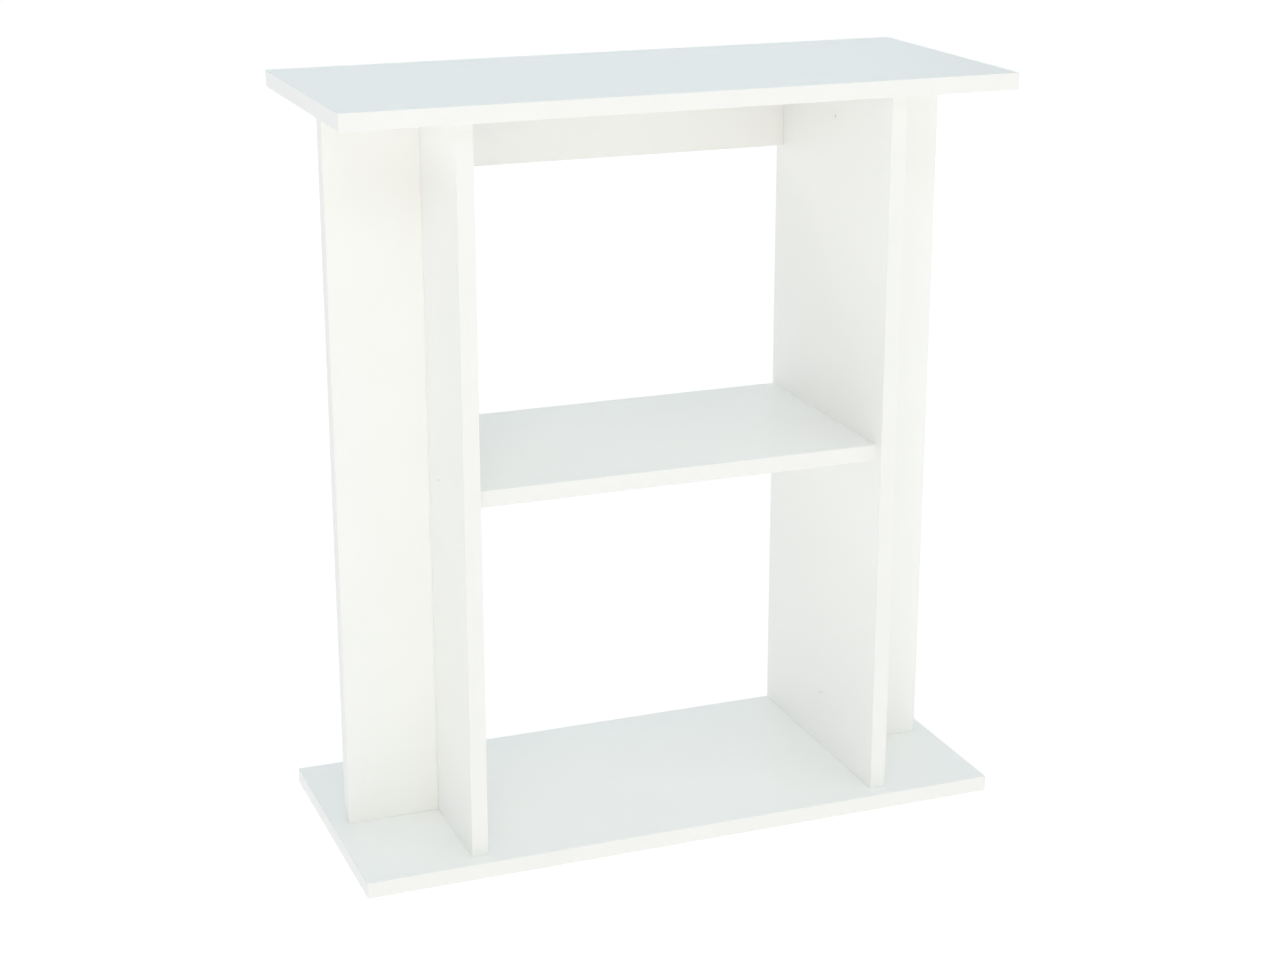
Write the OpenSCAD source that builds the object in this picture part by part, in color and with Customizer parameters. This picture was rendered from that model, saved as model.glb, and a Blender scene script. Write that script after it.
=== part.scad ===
// An open stand for a small aquarium, built from white faced board.
// A top and an equal base are joined by two uprights, which leave one wide bay with a fixed shelf.
// A rail stiffens the bay at the back, and a narrow wing outside each upright holds the top's ends.
// The origin is on the floor, below the middle of the stand. X runs along its width and the front
// faces -Y.

/* [Overall] */
// Width of the top and of the base
stand_w = 650; // [620:1:720]
// Depth of the top and of the base
stand_d = 272; // [260:1:320]
// Thickness of every board
board_t = 16; // [16:0.5:19]
// Thickness of the strips glued over the cut edges
edging_t = 0.8; // [0.4:0.1:2]
// Size of the small chamfers that ease the bare ends of the boards
ease = 0.3; // [0.1:0.1:1]

/* [Uprights] */
// Height of the uprights and of the wings
upright_h = 700; // [600:1:800]
// Clear width between the uprights
bay_w = 404; // [360:1:430]
// Distance of the uprights behind the top's front edge
upright_setback = 16; // [5:1:30]

/* [Wings] */
// Distance of the wings' outer edges inside the top's ends
wing_setback = 16; // [5:1:30]

/* [Shelf] */
// Clear height under the shelf
shelf_clear = 344; // [200:1:500]
// Depth of the shelf
shelf_d = 240; // [200:1:250]
// Distance of the shelf in front of the top's back edge
shelf_back_gap = 5; // [0:1:10]

/* [Back rail] */
// Height of the rail
rail_h = 86; // [60:1:150]

/* [Connector screws] */
// Length of a connector screw
screw_len = 50; // [45:1:60]
// Diameter of the screw's thread
screw_d = 7; // [6:0.5:7]
// Diameter of the screw's head
screw_head_d = 10; // [9.5:0.5:12]
// Width across the flats of the hexagonal socket
socket_w = 3; // [3:0.5:5]
// Height of the lower wing screws above the base
wing_screw_low = 58; // [50:1:120]
// Depth of the upper wing screws below the top
wing_screw_high = 38; // [30:1:120]
// Distance between the two shelf screws at each end
shelf_screw_gap = 100; // [60:1:140]

/* [Dowels] */
// Diameter of a dowel
dowel_d = 8; // [6:1:8]
// Length of a dowel
dowel_len = 30; // [25:1:35]
// Length of a dowel that sits in the face of a board
dowel_in_face = 11; // [8:0.5:12]

/* [Cam connectors] */
// Diameter of a cam
cam_d = 15; // [15:0.5:18]
// Distance from the end of a board to the middle of its cam
cam_reach = 34; // [24:1:34]

/* [Floor glides] */
// Diameter of a glide
glide_d = 20; // [16:1:24]
// Height of a glide
glide_h = 3; // [2.5:0.5:5]

/* [Hidden] */
$fn = 48;

// Clearance round a fastener in its hole, and round a screw's head, which is pulled in tight
fit_gap = 0.1;
head_gap = 0.03;
// The joint between two strips at a corner
strip_gap = 0.05;
// How far a cutting shape runs past the face that it cuts
overrun = 1;

// Heights above the floor
base_z = glide_h;
base_top_z = base_z + board_t;
top_under_z = base_top_z + upright_h;
stand_h = top_under_z + board_t;
shelf_z = base_top_z + shelf_clear;
rail_z = top_under_z - rail_h;

// Places across the width, on the right-hand side
end_x = stand_w / 2;
upright_in_x = bay_w / 2;
upright_out_x = upright_in_x + board_t;
upright_mid_x = upright_in_x + board_t / 2;
wing_end_x = end_x - wing_setback;

// Places across the depth
front_y = -stand_d / 2;
back_y = stand_d / 2;
upright_front_y = front_y + upright_setback;
rail_front_y = back_y - board_t;
rail_mid_y = back_y - board_t / 2;
shelf_back_y = back_y - shelf_back_gap;
shelf_front_y = shelf_back_y - shelf_d;
shelf_mid_y = (shelf_back_y + shelf_front_y) / 2;

// Fasteners in an upright's ends, from its front or back edge
near_edge_inset = 50;
far_edge_inset = 90;
// Fasteners in a wing's ends, from the upright and from the wing's outer edge
wing_inset = 28;
wing_near_x = upright_out_x + wing_inset;
wing_far_x = wing_end_x - wing_inset;
// Heights of the dowels between an upright and its wing, as shares of the upright's height
wing_dowel_shares = [1 / 4, 3 / 4];
// Rail fasteners: the screws from the rail's upper and lower edges, and the dowels from its middle
rail_screw_inset = 22;
rail_dowel_x = 110;

// A connector screw, measured from the top of its head
head_rim = 0.8;
head_cone = 3;
shank_end = 13;
thread_start = 13.5;
thread_pitch = 4;
thread_depth = 1.1;
screw_tip = 4;
socket_depth = 1.5;

// A cam bolt, measured from the lower face of the top
bolt_thread_len = 11;
bolt_thread_r = 3;
bolt_thread_depth = 0.7;
bolt_pitch = 2.2;
bolt_collar_r = 3.8;
bolt_collar_h = 1;
bolt_shaft_r = 2.5;
bolt_neck_r = 1.6;
bolt_neck_len = 4;
bolt_head_r = 3.3;
bolt_head_h = 3.4;

// A cam, measured inwards from the face of its board
cam_recess = 0.5;
cam_h = 12;
cam_cavity_r = 5.2;
cam_floor = 0.9;
cam_drive_r = 2.5;
cam_drive_depth = 3.4;
cam_slot_w = 1.4;
cam_slot_len = 10;
cam_slot_depth = 2.4;
cap_r = cam_d / 2 + 1;
cap_h = 1.2;
cap_pin_r = 2.2;
cap_pin_len = 3;

// Floor glides, inset from the ends of the uprights and of the wings
glide_inset = 14;
glide_recess_r = 3.2;
nail_head_r = 2.7;
nail_head_h = 0.9;
nail_head_z = 0.6;
nail_r = 0.8;
nail_tip_r = 0.1;
nail_len = 13;

// Colours
face_white = [0.93, 0.94, 0.94];
edge_white = [0.96, 0.96, 0.94];
beech = [0.82, 0.68, 0.48];
zinc = [0.72, 0.73, 0.75];
steel = [0.62, 0.63, 0.65];
plastic_white = [0.9, 0.9, 0.88];

// ---- Boards ----
// A board is its outer box with the strips on it: the lowest corner, the highest corner, and which
// of its low and high sides carry a strip, along X, Y and Z.

top_board = [
    [-end_x, front_y, top_under_z], [end_x, back_y, stand_h], [1, 1, 0], [1, 1, 0]
];
base_board = [
    [-end_x, front_y, base_z], [end_x, back_y, base_top_z], [1, 1, 0], [1, 1, 0]
];
upright_board = [
    [upright_in_x, upright_front_y, base_top_z], [upright_out_x, back_y, top_under_z],
    [0, 1, 0], [0, 1, 0]
];
wing_board = [
    [upright_out_x, -board_t / 2, base_top_z], [wing_end_x, board_t / 2, top_under_z],
    [0, 0, 0], [1, 0, 0]
];
shelf_board = [
    [-upright_in_x, shelf_front_y, shelf_z], [upright_in_x, shelf_back_y, shelf_z + board_t],
    [0, 1, 0], [0, 1, 0]
];
rail_board = [
    [-upright_in_x, rail_front_y, rail_z], [upright_in_x, back_y, top_under_z],
    [0, 0, 1], [0, 0, 0]
];

// The board itself, inside its strips, with every hole that the fasteners need
module drilled_board(board) {
    low = board[0] + edging_t * board[2];
    high = board[1] - edging_t * board[3];
    color(face_white) difference() {
        translate(low) cube(high - low);
        bare_edges(board);
        holes();
    }
}

// Square bars set on their corners along the edges of a board's bare ends, to cut small chamfers
module bare_edges(board) {
    size = board[1] - board[0];
    middle = (board[0] + board[1]) / 2;
    across = search(min(size), size)[0];
    for (end = [0:2], side = [0, 1], face = [0, 1])
        if (end != across && board[2 + side][end] == 0) {
            along = 3 - end - across;
            corner = [
                for (i = [0:2]) i == end ? board[side][i] : i == across ? board[face][i] : middle[i]
            ];
            bar = [for (i = [0:2]) i == along ? size[i] + 2 * overrun : ease * sqrt(2)];
            translate(corner) rotate([for (i = [0:2]) i == along ? 45 : 0]) cube(bar, center = true);
        }
}

// The strips of a board. Those at its ends stop short of those along its front and back.
module strips(board) {
    for (side = [0:2]) {
        short = edging_t + strip_gap;
        cut_low = side == 0 ? [0, short * board[2][1], 0] : [0, 0, 0];
        cut_high = side == 0 ? [0, short * board[3][1], 0] : [0, 0, 0];
        low = board[0] + cut_low;
        size = board[1] - cut_high - low;
        strip = [for (i = [0:2]) i == side ? edging_t : size[i]];
        color(edge_white) {
            if (board[2][side] == 1) translate(low) cube(strip);
            if (board[3][side] == 1) translate(low + size - strip) cube(strip);
        }
    }
}

module top_panel() drilled_board(top_board);
module base_panel() drilled_board(base_board);
module right_upright() drilled_board(upright_board);
module left_upright() mirror([1, 0, 0]) right_upright();
module right_wing() drilled_board(wing_board);
module left_wing() mirror([1, 0, 0]) right_wing();
module shelf() drilled_board(shelf_board);
module back_rail() drilled_board(rail_board);

module top_panel_edging() strips(top_board);
module base_panel_edging() strips(base_board);
module right_upright_edging() strips(upright_board);
module left_upright_edging() mirror([1, 0, 0]) right_upright_edging();
module right_wing_edging() strips(wing_board);
module left_wing_edging() mirror([1, 0, 0]) right_wing_edging();
module shelf_edging() strips(shelf_board);
module back_rail_edging() strips(rail_board);

// ---- Where the fasteners are ----
// Each module puts its children at every place of one kind, on both sides of the stand.

module both_sides() {
    children();
    mirror([1, 0, 0]) children();
}

// Screws enter along +Z of the child, with the head's top at its origin
module at_wing_screws() {
    both_sides()
        for (z = [base_top_z + wing_screw_low, top_under_z - wing_screw_high])
            translate([upright_in_x, 0, z]) rotate([0, 90, 0]) children();
}

module at_shelf_screws() {
    both_sides()
        for (side = [-1, 1])
            translate([upright_out_x, shelf_mid_y + side * shelf_screw_gap / 2, shelf_z + board_t / 2])
                rotate([0, -90, 0]) children();
}

module at_rail_screws() {
    both_sides()
        for (z = [rail_z + rail_screw_inset, top_under_z - rail_screw_inset])
            translate([upright_out_x, rail_mid_y, z]) rotate([0, -90, 0]) children();
}

module at_base_screws() {
    both_sides() {
        for (y = [upright_front_y + near_edge_inset, back_y - near_edge_inset])
            translate([upright_mid_x, y, base_z]) children();
        translate([wing_near_x, 0, base_z]) children();
    }
}

// Dowels cross from the face of one board, below the child's origin, into the edge of another
module at_wing_dowels() {
    both_sides()
        for (share = wing_dowel_shares)
            translate([upright_out_x, 0, base_top_z + share * upright_h])
                rotate([0, 90, 0]) children();
}

module at_shelf_dowels() {
    both_sides()
        translate([upright_in_x, shelf_mid_y, shelf_z + board_t / 2])
            rotate([0, -90, 0]) children();
}

module at_base_dowels() {
    both_sides() {
        for (y = [upright_front_y + far_edge_inset, back_y - far_edge_inset])
            translate([upright_mid_x, y, base_top_z]) children();
        translate([wing_far_x, 0, base_top_z]) children();
    }
}

module at_top_dowels() {
    both_sides() {
        for (y = [upright_front_y + near_edge_inset, back_y - far_edge_inset])
            translate([upright_mid_x, y, top_under_z]) rotate([180, 0, 0]) children();
        translate([wing_near_x, 0, top_under_z]) rotate([180, 0, 0]) children();
        translate([rail_dowel_x, rail_mid_y, top_under_z]) rotate([180, 0, 0]) children();
    }
}

// Cam connectors hang from the top's lower face, with +Y out of the face that holds the cam
module at_cams() {
    both_sides() {
        translate([upright_mid_x, back_y - near_edge_inset, top_under_z])
            rotate([0, 0, -90]) children();
        translate([wing_far_x, 0, top_under_z]) children();
    }
}

module at_glides() {
    both_sides() {
        for (y = [upright_front_y + glide_inset, back_y - glide_inset])
            translate([upright_mid_x, y, 0]) children();
        translate([wing_end_x - glide_inset, 0, 0]) children();
    }
}

// ---- Holes ----

module screw_hole() {
    head_r = screw_head_d / 2 + head_gap;
    shank_r = screw_d / 2 + fit_gap;
    translate([0, 0, -overrun]) cylinder(r = head_r, h = overrun + head_rim + head_gap);
    translate([0, 0, head_rim + head_gap]) cylinder(r1 = head_r, r2 = shank_r, h = head_cone);
    cylinder(r = shank_r, h = screw_len + overrun);
}

module dowel_hole() {
    end_gap = 0.5;
    translate([0, 0, -dowel_in_face - end_gap])
        cylinder(r = dowel_d / 2 + fit_gap, h = dowel_len + 2 * end_gap);
}

// The bolt's hole in the top and down the board's end, and the pocket for the cam
module cam_hole() {
    cylinder(r = bolt_thread_r + fit_gap, h = bolt_thread_len + fit_gap);
    translate([0, 0, -cam_reach]) cylinder(r = bolt_collar_r + fit_gap, h = cam_reach);
    translate([0, board_t / 2 + overrun, -cam_reach]) rotate([90, 0, 0])
        cylinder(r = cam_d / 2 + fit_gap, h = overrun + cam_recess + cam_h + fit_gap);
}

module nail_hole() {
    cylinder(r = nail_r + fit_gap, h = nail_head_z + nail_head_h + nail_len + fit_gap);
}

module holes() {
    at_wing_screws() screw_hole();
    at_shelf_screws() screw_hole();
    at_rail_screws() screw_hole();
    at_base_screws() screw_hole();
    at_wing_dowels() dowel_hole();
    at_shelf_dowels() dowel_hole();
    at_base_dowels() dowel_hole();
    at_top_dowels() dowel_hole();
    at_cams() cam_hole();
    at_glides() nail_hole();
}

// ---- Fasteners ----

// Ridges of a thread, as [radius, height] points from one height to another
function ridges(crest_r, root_r, from_z, to_z, pitch) =
    let (turns = floor((to_z - from_z) / pitch))
    [for (turn = [0:turns - 1]) each [
        [root_r, from_z + turn * pitch],
        [crest_r, from_z + (turn + 0.5) * pitch]
    ]];

module connector_screw() {
    head_r = screw_head_d / 2;
    shank_r = screw_d / 2;
    root_r = shank_r - thread_depth;
    socket_r = socket_w / 2 / cos(30);
    profile = concat(
        [[0, 0], [head_r, 0], [head_r, head_rim], [shank_r, head_rim + head_cone]],
        [[shank_r, shank_end]],
        ridges(shank_r, root_r, thread_start, screw_len - screw_tip, thread_pitch),
        [[root_r, screw_len - screw_tip], [root_r / 2, screw_len], [0, screw_len]]
    );
    color(zinc) difference() {
        rotate_extrude() polygon(profile);
        translate([0, 0, -overrun]) cylinder(r = socket_r, h = overrun + socket_depth, $fn = 6);
    }
}

// A dowel with its ends chamfered and its sides grooved to let glue pass
module dowel() {
    radius = dowel_d / 2;
    chamfer = 1;
    grooves = 8;
    groove_r = 0.35;
    color(beech) translate([0, 0, -dowel_in_face]) intersection() {
        rotate_extrude() polygon([
            [0, 0], [radius - chamfer, 0], [radius, chamfer],
            [radius, dowel_len - chamfer], [radius - chamfer, dowel_len], [0, dowel_len]
        ]);
        linear_extrude(dowel_len) difference() {
            circle(r = radius);
            for (i = [0:grooves - 1])
                rotate(i * 360 / grooves) translate([radius, 0]) circle(r = groove_r);
        }
    }
}

module cam_bolt() {
    neck_z = -cam_reach + bolt_head_h / 2;
    root_r = bolt_thread_r - bolt_thread_depth;
    color(steel) rotate_extrude() polygon(concat(
        [[0, neck_z - bolt_head_h], [bolt_head_r, neck_z - bolt_head_h], [bolt_head_r, neck_z]],
        [[bolt_neck_r, neck_z], [bolt_neck_r, neck_z + bolt_neck_len]],
        [[bolt_shaft_r, neck_z + bolt_neck_len], [bolt_shaft_r, -bolt_collar_h]],
        [[bolt_collar_r, -bolt_collar_h], [bolt_collar_r, 0]],
        ridges(bolt_thread_r, root_r, 0, bolt_thread_len, bolt_pitch),
        [[root_r, bolt_thread_len], [0, bolt_thread_len]]
    ));
}

// A hollow drum that turns in its pocket: the bolt's head goes in from above, and a screwdriver
// turns the drum by the cross cut in its outer face.
module cam_housing() {
    outer_y = board_t / 2 - cam_recess;
    cavity_top = outer_y - cam_drive_depth - cam_floor;
    cavity_h = cam_h - cam_drive_depth - 2 * cam_floor;
    color(zinc) translate([0, 0, -cam_reach]) difference() {
        translate([0, outer_y, 0]) rotate([90, 0, 0]) cylinder(d = cam_d, h = cam_h);
        translate([0, cavity_top, 0]) rotate([90, 0, 0]) cylinder(r = cam_cavity_r, h = cavity_h);
        cylinder(r = bolt_collar_r, h = cam_d);
        translate([0, outer_y + overrun, 0]) rotate([90, 0, 0])
            cylinder(r = cam_drive_r, h = overrun + cam_drive_depth);
        for (turn = [0, 90])
            translate([0, outer_y, 0]) rotate([0, turn, 0])
                cube([cam_slot_len, 2 * cam_slot_depth, cam_slot_w], center = true);
    }
}

module cam_cap() {
    color(plastic_white) translate([0, board_t / 2, -cam_reach]) rotate([-90, 0, 0])
        rotate_extrude() polygon([
            [0, -cap_pin_len], [cap_pin_r, -cap_pin_len], [cap_pin_r, 0],
            [cap_r, 0], [cap_r, cap_h / 2], [cap_r - cap_h / 2, cap_h], [0, cap_h]
        ]);
}

module floor_glide() {
    radius = glide_d / 2;
    round_r = glide_h / 2;
    recess_h = nail_head_z + nail_head_h;
    color(plastic_white) rotate_extrude() difference() {
        union() {
            square([radius - round_r, glide_h]);
            translate([0, round_r]) square([radius, glide_h - round_r]);
            translate([radius - round_r, round_r]) circle(r = round_r);
        }
        translate([-overrun, -overrun]) square([overrun + glide_recess_r, overrun + recess_h]);
        translate([-overrun, -overrun]) square([overrun + nail_r + fit_gap, glide_h + 2 * overrun]);
    }
}

module glide_nail() {
    color(steel) translate([0, 0, nail_head_z]) {
        cylinder(r = nail_head_r, h = nail_head_h);
        translate([0, 0, nail_head_h]) cylinder(r = nail_r, h = nail_len - nail_r);
        translate([0, 0, nail_head_h + nail_len - nail_r])
            cylinder(r1 = nail_r, r2 = nail_tip_r, h = nail_r);
    }
}

module wing_screws() at_wing_screws() connector_screw();
module shelf_screws() at_shelf_screws() connector_screw();
module rail_screws() at_rail_screws() connector_screw();
module base_screws() at_base_screws() connector_screw();
module wing_dowels() at_wing_dowels() dowel();
module shelf_dowels() at_shelf_dowels() dowel();
module base_dowels() at_base_dowels() dowel();
module top_dowels() at_top_dowels() dowel();
module cam_bolts() at_cams() cam_bolt();
module cam_housings() at_cams() cam_housing();
module cam_caps() at_cams() cam_cap();
module floor_glides() at_glides() floor_glide();
module glide_nails() at_glides() glide_nail();

top_panel();
base_panel();
left_upright();
right_upright();
left_wing();
right_wing();
shelf();
back_rail();
top_panel_edging();
base_panel_edging();
left_upright_edging();
right_upright_edging();
left_wing_edging();
right_wing_edging();
shelf_edging();
back_rail_edging();
wing_screws();
shelf_screws();
rail_screws();
base_screws();
wing_dowels();
shelf_dowels();
base_dowels();
top_dowels();
cam_bolts();
cam_housings();
cam_caps();
floor_glides();
glide_nails();
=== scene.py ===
"""An open aquarium stand of white faced board, in a plain white studio."""

import math

import bmesh
import bpy
from mathutils import Matrix, Vector


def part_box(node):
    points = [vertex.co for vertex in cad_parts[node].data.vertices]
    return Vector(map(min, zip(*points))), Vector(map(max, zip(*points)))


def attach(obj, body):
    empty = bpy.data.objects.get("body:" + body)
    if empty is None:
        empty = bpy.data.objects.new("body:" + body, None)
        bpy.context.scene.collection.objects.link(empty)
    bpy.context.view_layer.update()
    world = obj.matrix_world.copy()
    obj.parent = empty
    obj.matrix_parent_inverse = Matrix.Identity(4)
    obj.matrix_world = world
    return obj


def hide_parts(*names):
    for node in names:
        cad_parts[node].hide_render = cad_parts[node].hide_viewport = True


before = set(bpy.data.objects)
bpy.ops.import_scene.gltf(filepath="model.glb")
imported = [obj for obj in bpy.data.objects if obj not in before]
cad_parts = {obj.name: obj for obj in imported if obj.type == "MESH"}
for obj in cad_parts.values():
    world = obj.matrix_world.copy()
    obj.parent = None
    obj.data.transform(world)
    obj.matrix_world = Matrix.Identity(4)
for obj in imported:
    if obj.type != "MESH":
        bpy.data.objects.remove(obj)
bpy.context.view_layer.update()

MM = 0.001
X, Y, Z = range(3)

# Each board, and the axis across its thickness
BOARDS = {
    "top_panel": Z,
    "base_panel": Z,
    "left_upright": X,
    "right_upright": X,
    "left_wing": Y,
    "right_wing": Y,
    "shelf": Z,
    "back_rail": Y,
}
PANELS = ("top_panel", "base_panel")
DOWELS = ("wing_dowels", "shelf_dowels", "base_dowels", "top_dowels")

# Each group of screws, the axis along it, and the end that its heads are at: min is the end nearer
# the origin, and max is the end further from it
SCREWS = {
    "wing_screws": (X, min),
    "shelf_screws": (X, max),
    "rail_screws": (X, max),
    "base_screws": (Z, min),
}


# ---- Helpers for node materials ----

# Noise mostly stays between these two values, so a look goes from one setting to another over them
NOISE_LOW = 0.3
NOISE_HIGH = 0.7

# Where a new stop on a colour ramp starts, before it gets its own position
ANY_POSITION = 0.5

# Where a Mix node keeps its colour sockets, because their names aren't unique
MIX_FACTOR = 0
MIX_FIRST = 6
MIX_SECOND = 7
MIX_RESULT = 2


class Material:
    """A node material around one Principled shader, with helpers that add and join nodes."""

    def __init__(self, name, roughness=0.5, metallic=0.0):
        self.data = bpy.data.materials.new(name)
        self.data.use_nodes = True
        self.tree = self.data.node_tree
        self.shader = self.tree.nodes["Principled BSDF"]
        self.shader.inputs["Roughness"].default_value = roughness
        self.shader.inputs["Metallic"].default_value = metallic
        self.place = self.add("ShaderNodeTexCoord").outputs["Object"]

    def add(self, kind, **settings):
        node = self.tree.nodes.new(kind)
        for key, value in settings.items():
            setattr(node, key, value)
        return node

    def join(self, source, target):
        self.tree.links.new(source, target)

    def noise(self, scale, detail=3.0, roughness=0.5):
        """Noise whose scale is how many blobs lie along a metre."""
        noise = self.add("ShaderNodeTexNoise")
        noise.inputs["Scale"].default_value = scale
        noise.inputs["Detail"].default_value = detail
        noise.inputs["Roughness"].default_value = roughness
        self.join(self.place, noise.inputs["Vector"])
        return noise.outputs["Fac"]

    def ramp(self, factor, stops):
        """A colour ramp from a list of (position, colour)."""
        ramp = self.add("ShaderNodeValToRGB")
        fill_ramp(ramp, stops)
        self.join(factor, ramp.inputs["Fac"])
        return ramp.outputs["Color"]

    def spread(self, noise, low, high):
        """A number that goes from low to high as noise rises."""
        spread = self.add("ShaderNodeMapRange")
        limits = {"From Min": NOISE_LOW, "From Max": NOISE_HIGH, "To Min": low, "To Max": high}
        for socket, value in limits.items():
            spread.inputs[socket].default_value = value
        self.join(noise, spread.inputs["Value"])
        return spread.outputs["Result"]

    def mix(self, factor, pattern, colour):
        """A colour that goes from a pattern's own to one fixed colour as factor goes from 0 to 1."""
        node = self.add("ShaderNodeMix", data_type="RGBA")
        self.join(factor, node.inputs[MIX_FACTOR])
        self.join(pattern, node.inputs[MIX_FIRST])
        node.inputs[MIX_SECOND].default_value = (*colour, 1)
        return node.outputs[MIX_RESULT]

    def colour(self, socket):
        self.join(socket, self.shader.inputs["Base Color"])

    def tone(self, noise, low, high, tint):
        """Colours the surface with a tint, from low to high brightness as noise rises."""
        self.colour(self.ramp(noise, [(NOISE_LOW, shade(low, tint)), (NOISE_HIGH, shade(high, tint))]))

    def roughness(self, noise, low, high):
        """Makes the surface rougher, from low to high, as noise rises."""
        self.join(self.spread(noise, low, high), self.shader.inputs["Roughness"])

    def bump(self, pattern, height, strength):
        """Raises the surface by a pattern from 0 to 1 times a height in metres."""
        bump = self.add("ShaderNodeBump")
        bump.inputs["Strength"].default_value = strength
        bump.inputs["Distance"].default_value = height
        self.join(pattern, bump.inputs["Height"])
        self.join(bump.outputs["Normal"], self.shader.inputs["Normal"])


def fill_ramp(ramp, stops):
    """Gives a colour ramp its stops, from a list of (position, colour)."""
    elements = ramp.color_ramp.elements
    while len(elements) < len(stops):
        elements.new(ANY_POSITION)
    for element, (position, colour) in zip(elements, stops):
        element.position = position
        element.color = (*colour, 1)


def shade(value, tint):
    return tuple(value * part for part in tint)


# ---- Materials ----

NEUTRAL = (1.0, 1.0, 1.0)
FACE_TINT = (1.0, 1.0, 0.985)
EDGE_TINT = (1.0, 1.0, 0.99)
ZINC = (0.75, 0.76, 0.78)
STEEL = (0.62, 0.63, 0.65)
CAST_ZINC = (0.5, 0.51, 0.53)
CHIPS = [(0.0, (0.30, 0.19, 0.10)), (0.5, (0.50, 0.35, 0.20)), (1.0, (0.66, 0.50, 0.32))]
CHIPS_PER_METRE = 420
CHIP_DUST = (0.60, 0.46, 0.30)
BEECH = [(0.3, (0.50, 0.33, 0.18)), (0.55, (0.66, 0.48, 0.29)), (0.75, (0.74, 0.57, 0.37))]
CAP_WHITE = 0.86
GLIDE_WHITE = 0.78
MOULDED_CLOUDINESS = 0.02


def melamine():
    """White facing paper: even, with a faint cloudiness and a fine pearl texture."""
    material = Material("white_melamine")
    material.tone(material.noise(scale=14, detail=4), low=0.962, high=0.974, tint=FACE_TINT)
    material.roughness(material.noise(scale=60, detail=2), low=0.4, high=0.52)
    material.bump(material.noise(scale=1100, detail=2), height=0.04 * MM, strength=0.5)
    return material.data


def chipboard():
    """The core of a board, which shows in its holes and on the edges that carry no strip."""
    material = Material("chipboard_core", roughness=0.85)
    chips = material.add("ShaderNodeTexVoronoi", feature="F1")
    chips.inputs["Scale"].default_value = CHIPS_PER_METRE
    material.join(material.place, chips.inputs["Vector"])
    dust = material.spread(material.noise(scale=900, detail=5, roughness=0.7), low=0, high=0.6)
    material.colour(material.mix(dust, material.ramp(chips.outputs["Color"], CHIPS), CHIP_DUST))
    material.bump(chips.outputs["Distance"], height=0.4 * MM, strength=0.8)
    return material.data


def edging():
    """Plastic edging strip, smoother than the faces."""
    material = Material("white_edging")
    material.tone(material.noise(scale=25), low=0.922, high=0.937, tint=EDGE_TINT)
    material.roughness(material.noise(scale=90, detail=2), low=0.34, high=0.46)
    material.bump(material.noise(scale=1500, detail=2), height=0.03 * MM, strength=0.4)
    return material.data


def metal(name, colour):
    """Plated or cast metal, with dull patches and a fine grain."""
    material = Material(name, metallic=1.0)
    material.tone(material.noise(scale=500, detail=5), low=0.86, high=1, tint=colour)
    material.roughness(material.noise(scale=900), low=0.25, high=0.5)
    material.bump(material.noise(scale=4000), height=0.02 * MM, strength=0.4)
    return material.data


def lacquer():
    """White lacquer on a screw's head, slightly uneven."""
    material = Material("white_lacquer")
    clouds = material.noise(scale=500)
    material.tone(clouds, low=0.945, high=0.96, tint=EDGE_TINT)
    material.roughness(clouds, low=0.3, high=0.45)
    material.bump(material.noise(scale=1800, detail=2), height=0.04 * MM, strength=0.5)
    return material.data


def beech():
    """Raw beech, mottled by its grain."""
    material = Material("raw_beech", roughness=0.7)
    grain = material.noise(scale=300, detail=6, roughness=0.6)
    material.colour(material.ramp(grain, BEECH))
    material.bump(grain, height=0.1 * MM, strength=0.6)
    return material.data


def moulded(name, white):
    """White moulded plastic with a fine spark texture."""
    material = Material(name)
    material.tone(material.noise(scale=300), low=white - MOULDED_CLOUDINESS, high=white, tint=NEUTRAL)
    material.roughness(material.noise(scale=800, detail=2), low=0.42, high=0.58)
    material.bump(material.noise(scale=2600, detail=2), height=0.05 * MM, strength=0.5)
    return material.data


# ---- Stage ----
# Directions are seen from the stand, as an azimuth from its front and an elevation, in degrees.

VIEW_TARGET = Vector((-0.001, 0.0, 0.334))
VIEW_AZIMUTH = -21.19
VIEW_ELEVATION = 17.94
VIEW_DISTANCE = 2.3545
VIEW_ANGLE = 29.97
CAMERA_REACH = 200

FLOOR_HALF_WIDTH = 40
FLOOR_GLOW = 0.815
FLOOR_GLOW_COLOUR = (1.0, 1.0, 0.99, 1)

# The colour of the surroundings by height, from the horizon at 0 to straight up at 1
SKY = [
    (0.2, (1.0, 1.0, 1.0)),
    (0.3, (0.0, 0.0, 0.0)),
    (0.45, (0.0, 0.0, 0.0)),
    (0.55, (0.79, 0.875, 0.91)),
]

# Each softbox: azimuth, elevation, distance, width, power and colour
SOFTBOXES = {
    "low_softbox": (-21, 3, 5.0, 3.0, 15, (1.0, 0.75, 0.1)),
    "main_softbox": (-21, 35, 3.8, 2.0, 15.6, (1.0, 1.0, 1.0)),
    "right_softbox": (45, 35, 3.8, 2.0, 8.8, (1.0, 0.9, 0.75)),
    "left_softbox": (-50, 45, 5.0, 3.0, 4.5, (1.0, 0.78, 0.7)),
    "rear_softbox": (165, 4, 5.0, 3.0, 21, (0.87, 1.0, 1.04)),
}
STAND_MIDDLE = Vector((0, 0, 0.35))


def direction(azimuth, elevation):
    """The unit vector from the stand in a direction."""
    azimuth = math.radians(azimuth)
    elevation = math.radians(elevation)
    return Vector((
        math.sin(azimuth) * math.cos(elevation),
        -math.cos(azimuth) * math.cos(elevation),
        math.sin(elevation),
    ))


def place_and_aim(thing, target, azimuth, elevation, distance):
    """Puts a camera or light in a direction from its target, and points it at the target."""
    back = direction(azimuth, elevation)
    thing.location = target + back * distance
    thing.rotation_euler = (-back).to_track_quat("-Z", "Y").to_euler()
    bpy.context.collection.objects.link(thing)


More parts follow.
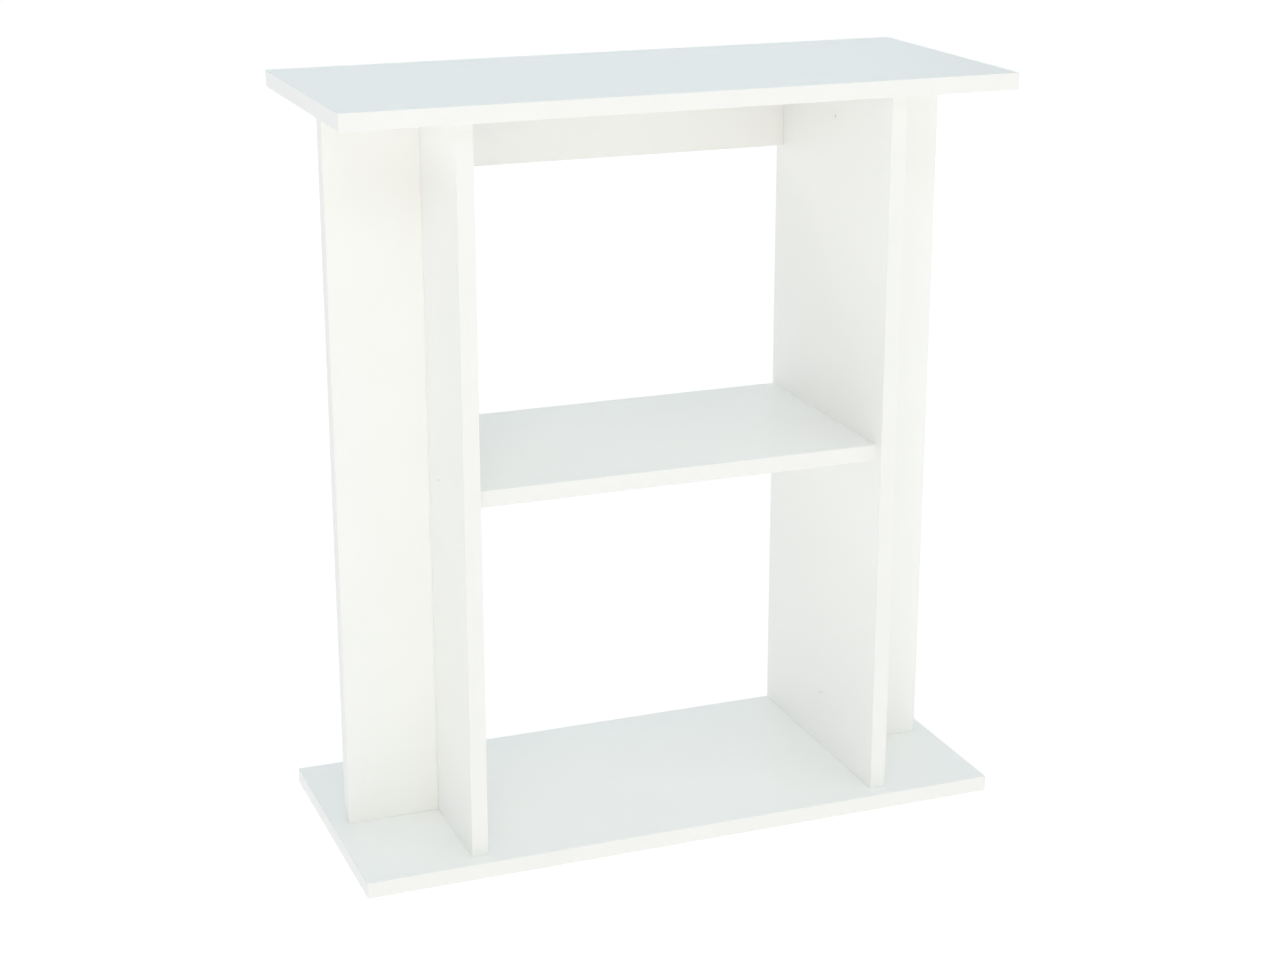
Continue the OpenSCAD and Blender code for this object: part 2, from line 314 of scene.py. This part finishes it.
def make_camera():
    data = bpy.data.cameras.new("camera")
    data.angle = math.radians(VIEW_ANGLE)
    data.clip_end = CAMERA_REACH
    camera = bpy.data.objects.new("camera", data)
    place_and_aim(camera, VIEW_TARGET, VIEW_AZIMUTH, VIEW_ELEVATION, VIEW_DISTANCE)
    bpy.context.scene.camera = camera


def make_floor():
    """A white floor that glows, so that it stays white right up to the stand."""
    material = Material("studio_floor", roughness=0.9)
    material.tone(material.noise(scale=3), low=0.24, high=0.25, tint=NEUTRAL)
    material.shader.inputs["Emission Color"].default_value = FLOOR_GLOW_COLOUR
    material.shader.inputs["Emission Strength"].default_value = FLOOR_GLOW
    half = FLOOR_HALF_WIDTH
    mesh = bpy.data.meshes.new("floor")
    corners = [(-half, -half, 0), (half, -half, 0), (half, half, 0), (-half, half, 0)]
    mesh.from_pydata(corners, [], [(0, 1, 2, 3)])
    mesh.materials.append(material.data)
    floor = bpy.data.objects.new("floor", mesh)
    bpy.context.collection.objects.link(floor)


def make_surroundings():
    """A white horizon and soft light from overhead, with a dark ring between them."""
    world = bpy.data.worlds.new("studio")
    bpy.context.scene.world = world
    world.use_nodes = True
    tree = world.node_tree
    outwards = tree.nodes.new("ShaderNodeTexCoord")
    split = tree.nodes.new("ShaderNodeSeparateXYZ")
    ramp = tree.nodes.new("ShaderNodeValToRGB")
    fill_ramp(ramp, SKY)
    tree.links.new(outwards.outputs["Generated"], split.inputs["Vector"])
    tree.links.new(split.outputs["Z"], ramp.inputs["Fac"])
    tree.links.new(ramp.outputs["Color"], tree.nodes["Background"].inputs["Color"])


def make_softbox(name, azimuth, elevation, distance, width, power, colour):
    data = bpy.data.lights.new(name, "AREA")
    data.shape = "SQUARE"
    data.size = width
    data.energy = power
    data.color = colour
    place_and_aim(bpy.data.objects.new(name, data), STAND_MIDDLE, azimuth, elevation, distance)


def make_stage():
    bpy.context.scene.view_settings.view_transform = "Standard"
    make_camera()
    make_floor()
    make_surroundings()
    for name, settings in SOFTBOXES.items():
        make_softbox(name, *settings)


# ---- CAD nodes and pieces ----

# How deep the facing reaches over the eased edges of a board
FACING_DEPTH = 0.5 * MM

# How much of a faced surface's normal lies across the board's thickness, at least
FACING_SLOPE = 0.5

# Corners this near each other are one corner
SAME_CORNER = 0.001 * MM


def set_materials(node, *materials):
    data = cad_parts[node].data
    data.materials.clear()
    for material in materials:
        data.materials.append(material)


def finish_board(board, across, face, core):
    """Facing on the broad sides and their eased edges, and bare core on the ends and in the holes."""
    low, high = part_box(board)
    set_materials(board, face, core)
    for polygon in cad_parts[board].data.polygons:
        height = polygon.center[across]
        depth = min(height - low[across], high[across] - height)
        faced = depth < FACING_DEPTH and abs(polygon.normal[across]) > FACING_SLOPE
        polygon.material_index = 0 if faced else 1


def add_piece(name, mesh, materials, slot, *nodes):
    """Turns a bmesh into a piece that rides on the stand and stands for CAD nodes."""
    data = bpy.data.meshes.new(name)
    mesh.to_mesh(data)
    mesh.free()
    for material in materials:
        data.materials.append(material)
    piece = bpy.data.objects.new(name, data)
    bpy.context.collection.objects.link(piece)
    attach(piece, "root")
    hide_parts(*nodes)
    return piece


def joined_corners(start):
    """All corners of a mesh that edges join to one corner, with that corner itself."""
    seen = {start}
    solid = [start]
    for corner in solid:
        near = [edge.other_vert(corner) for edge in corner.link_edges]
        near = [other for other in near if other not in seen]
        seen.update(near)
        solid.extend(near)
    return solid


def solid_boxes(node):
    """The lowest and highest corner of each separate solid in a CAD node."""
    mesh = bmesh.new()
    mesh.from_mesh(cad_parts[node].data)
    bmesh.ops.remove_doubles(mesh, verts=mesh.verts, dist=SAME_CORNER)
    seen = set()
    boxes = []
    for start in mesh.verts:
        if start not in seen:
            solid = joined_corners(start)
            seen.update(solid)
            sides = [sorted(corner.co[axis] for corner in solid) for axis in (X, Y, Z)]
            boxes.append((Vector(side[0] for side in sides), Vector(side[-1] for side in sides)))
    mesh.free()
    return sorted(boxes, key=lambda box: tuple(box[0]))


# ---- Edging strips ----

STRIP_ROUNDING = 0.6 * MM
ROUNDING_STEPS = 3

# A corner this near the outer side of a strip is on it
ON_SIDE = 0.01 * MM


def add_strip(mesh, low, high, board_middle, round_ends):
    """Adds one edging strip, with its outer edges rounded off."""
    size = high - low
    middle = (low + high) / 2
    across = min((X, Y, Z), key=lambda axis: size[axis])
    along = max((X, Y, Z), key=lambda axis: size[axis])
    corners = bmesh.ops.create_cube(mesh, size=1)["verts"]
    for corner in corners:
        corner.co = Vector(middle[axis] + corner.co[axis] * size[axis] for axis in (X, Y, Z))
    outer = low[across] if middle[across] < board_middle[across] else high[across]
    front = [corner for corner in corners if abs(corner.co[across] - outer) < ON_SIDE]
    edges = [edge for edge in mesh.edges if all(corner in front for corner in edge.verts)]
    if not round_ends:
        edges = [edge for edge in edges if edge.calc_length() > size[along] / 2]
    bmesh.ops.bevel(
        mesh, geom=edges, offset=STRIP_ROUNDING, segments=ROUNDING_STEPS, affect="EDGES", profile=0.5
    )


def make_edging(board, strip):
    """Edging strips that replace a board's plain ones."""
    node = board + "_edging"
    low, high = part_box(board)
    mesh = bmesh.new()
    for strip_low, strip_high in solid_boxes(node):
        add_strip(mesh, strip_low, strip_high, (low + high) / 2, board in PANELS)
    add_piece(node + "_strips", mesh, [strip], "edging", node)


# ---- Screws and bolts ----
# Each is turned along +Z in millimetres, from the face of its head at zero to its tip. An outline
# is a list of radii and heights.

ROUND_STEPS = 24
ANGLES = [2 * math.pi * step / ROUND_STEPS for step in range(ROUND_STEPS)]

# Faces that meet at more degrees than this keep a sharp edge between them
SHARP_ANGLE = 35

SOCKET_WIDTH = 3
SOCKET_DEPTH = 1.5
SOCKET_CHAMFER = 0.15
SCREW_HEAD = [(4.95, 0), (5, 0.05), (5, 0.8), (3.5, 3.8), (3.5, 13), (2.4, 13.5)]
SCREW_THREAD = {"root": 2.4, "depth": 1.1, "pitch": 4, "start": 13.8, "turns": 7}
SCREW_TIP = [(2.4, 46), (1.2, 50)]

# How far down a screw its lacquer reaches
LACQUERED = 3.6

BOLT_HEAD = [(2.9, 0), (3.3, 0.4), (3.3, 3), (2.9, 3.4), (1.6, 3.4), (1.6, 7.4), (2.5, 7.4)]
BOLT_COLLAR_RADIUS = 3.8
BOLT_COLLAR_HEIGHT = 1
BOLT_SHAFT_RADIUS = 2.5
BOLT_THREAD_LENGTH = 11
BOLT_THREAD = {"root": 2.3, "depth": 0.7, "pitch": 2.2, "turns": 3}
BOLT_TIP_CHAMFER = 0.4

# A thread's ridge: how far along the pitch, and how far out of the root, each from 0 to 1
RIDGE = [(0.3, 0), (0.5, 1), (0.7, 0)]


def turned_point(angle, radius, height):
    return Vector((radius * math.cos(angle), radius * math.sin(angle), height)) * MM


def circle(radius):
    return [radius] * ROUND_STEPS


def hexagon(width):
    """The radii of a hexagon that is this wide across its flats."""
    sixth = math.pi / 3
    return [width / 2 / math.cos(angle % sixth - sixth / 2) for angle in ANGLES]


def add_ring(mesh, radii, height):
    return [mesh.verts.new(turned_point(angle, radius, height)) for angle, radius in zip(ANGLES, radii)]


def join_rings(mesh, rings):
    for lower, upper in zip(rings, rings[1:]):
        for step in range(ROUND_STEPS):
            mesh.faces.new((lower[step - 1], lower[step], upper[step], upper[step - 1]))


def add_outline(mesh, outline):
    rings = [add_ring(mesh, circle(radius), height) for radius, height in outline]
    join_rings(mesh, rings)
    return rings


def add_socket(mesh, face):
    """A hexagonal hole in the face of a head, out to the face's ring."""
    floor = add_ring(mesh, hexagon(SOCKET_WIDTH), SOCKET_DEPTH)
    wall = add_ring(mesh, hexagon(SOCKET_WIDTH), SOCKET_CHAMFER)
    mouth = add_ring(mesh, hexagon(SOCKET_WIDTH + 2 * SOCKET_CHAMFER), 0)
    join_rings(mesh, [floor, wall, mouth, face])
    mesh.faces.new(floor[::-1])


def add_thread(mesh, below, above, root, depth, pitch, start, turns):
    """A helical ridge between two rings, which rises and dies away over half a turn."""
    last = turns * ROUND_STEPS
    fade = ROUND_STEPS / 2

    def corner(column, share, out):
        rise = min(1, column / fade, (last - column) / fade)
        turn = column / ROUND_STEPS
        return mesh.verts.new(turned_point(
            2 * math.pi * turn, root + depth * out * rise, start + pitch * (turn + share)
        ))

    groove = [corner(column, 0, 0) for column in range(last + ROUND_STEPS + 1)]
    ridge = [[corner(column, share, out) for column in range(last + 1)] for share, out in RIDGE]
    lines = [groove, *ridge, groove[ROUND_STEPS:]]
    for line, next_line in zip(lines, lines[1:]):
        for column in range(last):
            mesh.faces.new((line[column], line[column + 1], next_line[column + 1], next_line[column]))

    # The turned rings meet the helix along its first and last turns, and a fan fills each step
    join_rings(mesh, [below, groove[:ROUND_STEPS]])
    join_rings(mesh, [groove[last + 1:], above[1:] + above[:1]])
    for line, next_line in zip(lines, lines[1:]):
        mesh.faces.new((groove[ROUND_STEPS - 1], line[0], next_line[0]))
        mesh.faces.new((groove[last + 1], next_line[last], line[last]))


def connector_screw():
    mesh = bmesh.new()
    head = add_outline(mesh, SCREW_HEAD)
    tip = add_outline(mesh, SCREW_TIP)
    add_socket(mesh, head[0])
    add_thread(mesh, head[-1], tip[0], **SCREW_THREAD)
    mesh.faces.new(tip[-1])
    for face in mesh.faces:
        face.material_index = 0 if face.calc_center_median().z < LACQUERED * MM else 1
    return mesh


def cam_bolt(length):
    mesh = bmesh.new()
    thread_from = length - BOLT_THREAD_LENGTH
    root = BOLT_THREAD["root"]
    shank = add_outline(mesh, BOLT_HEAD + [
        (BOLT_SHAFT_RADIUS, thread_from - BOLT_COLLAR_HEIGHT),
        (BOLT_COLLAR_RADIUS, thread_from - BOLT_COLLAR_HEIGHT),
        (BOLT_COLLAR_RADIUS, thread_from),
        (root, thread_from),
    ])
    tip = add_outline(mesh, [(root, length - BOLT_TIP_CHAMFER), (root - BOLT_TIP_CHAMFER, length)])
    add_thread(mesh, shank[-1], tip[0], start=thread_from + BOLT_TIP_CHAMFER, **BOLT_THREAD)
    mesh.faces.new(shank[0][::-1])
    mesh.faces.new(tip[-1])
    return mesh


def fastener_places(node, axis, head_end):
    """Where each fastener of a node stands: +Z runs from the middle of its head's face to its tip."""
    places = []
    for low, high in solid_boxes(node):
        head = (low + high) / 2
        tip = head.copy()
        head[axis] = head_end(low[axis], high[axis], key=abs)
        tip[axis] = low[axis] + high[axis] - head[axis]
        turn = (tip - head).to_track_quat("Z", "Y").to_matrix().to_4x4()
        places.append(Matrix.Translation(head) @ turn)
    return places


def make_fasteners(node, axis, head_end, pattern, materials, slot):
    """A copy of a threaded pattern in the place of each plain fastener of a CAD node."""
    single = bpy.data.meshes.new(node + "_pattern")
    pattern.to_mesh(single)
    pattern.free()
    mesh = bmesh.new()
    for place in fastener_places(node, axis, head_end):
        first = len(mesh.verts)
        mesh.from_mesh(single)
        mesh.verts.ensure_lookup_table()
        bmesh.ops.transform(mesh, matrix=place, verts=mesh.verts[first:])
    bpy.data.meshes.remove(single)
    piece = add_piece(node + "_threaded", mesh, materials, slot, node)
    piece.data.shade_smooth()
    piece.data.set_sharp_from_angle(angle=math.radians(SHARP_ANGLE))


# ---- The stand ----

def finish_boards():
    face = melamine()
    core = chipboard()
    strip = edging()
    for board, across in BOARDS.items():
        finish_board(board, across, face, core)
        set_materials(board + "_edging", strip)
        make_edging(board, strip)


def finish_screws(zinc):
    head = lacquer()
    for node, (axis, head_end) in SCREWS.items():
        set_materials(node, zinc)
        make_fasteners(node, axis, head_end, connector_screw(), [head, zinc], "screw_steel")


def finish_cam_bolts(steel):
    low, high = solid_boxes("cam_bolts")[0]
    set_materials("cam_bolts", steel)
    make_fasteners("cam_bolts", Z, min, cam_bolt((high.z - low.z) / MM), [steel], "bolt_steel")


def make_stand():
    steel = metal("bright_steel", STEEL)
    wood = beech()
    finish_boards()
    finish_screws(metal("zinc_plating", ZINC))
    finish_cam_bolts(steel)
    for node in DOWELS:
        set_materials(node, wood)
    set_materials("glide_nails", steel)
    set_materials("cam_housings", metal("cast_zinc", CAST_ZINC))
    set_materials("cam_caps", moulded("cap_plastic", CAP_WHITE))
    set_materials("floor_glides", moulded("glide_plastic", GLIDE_WHITE))


make_stage()
make_stand()
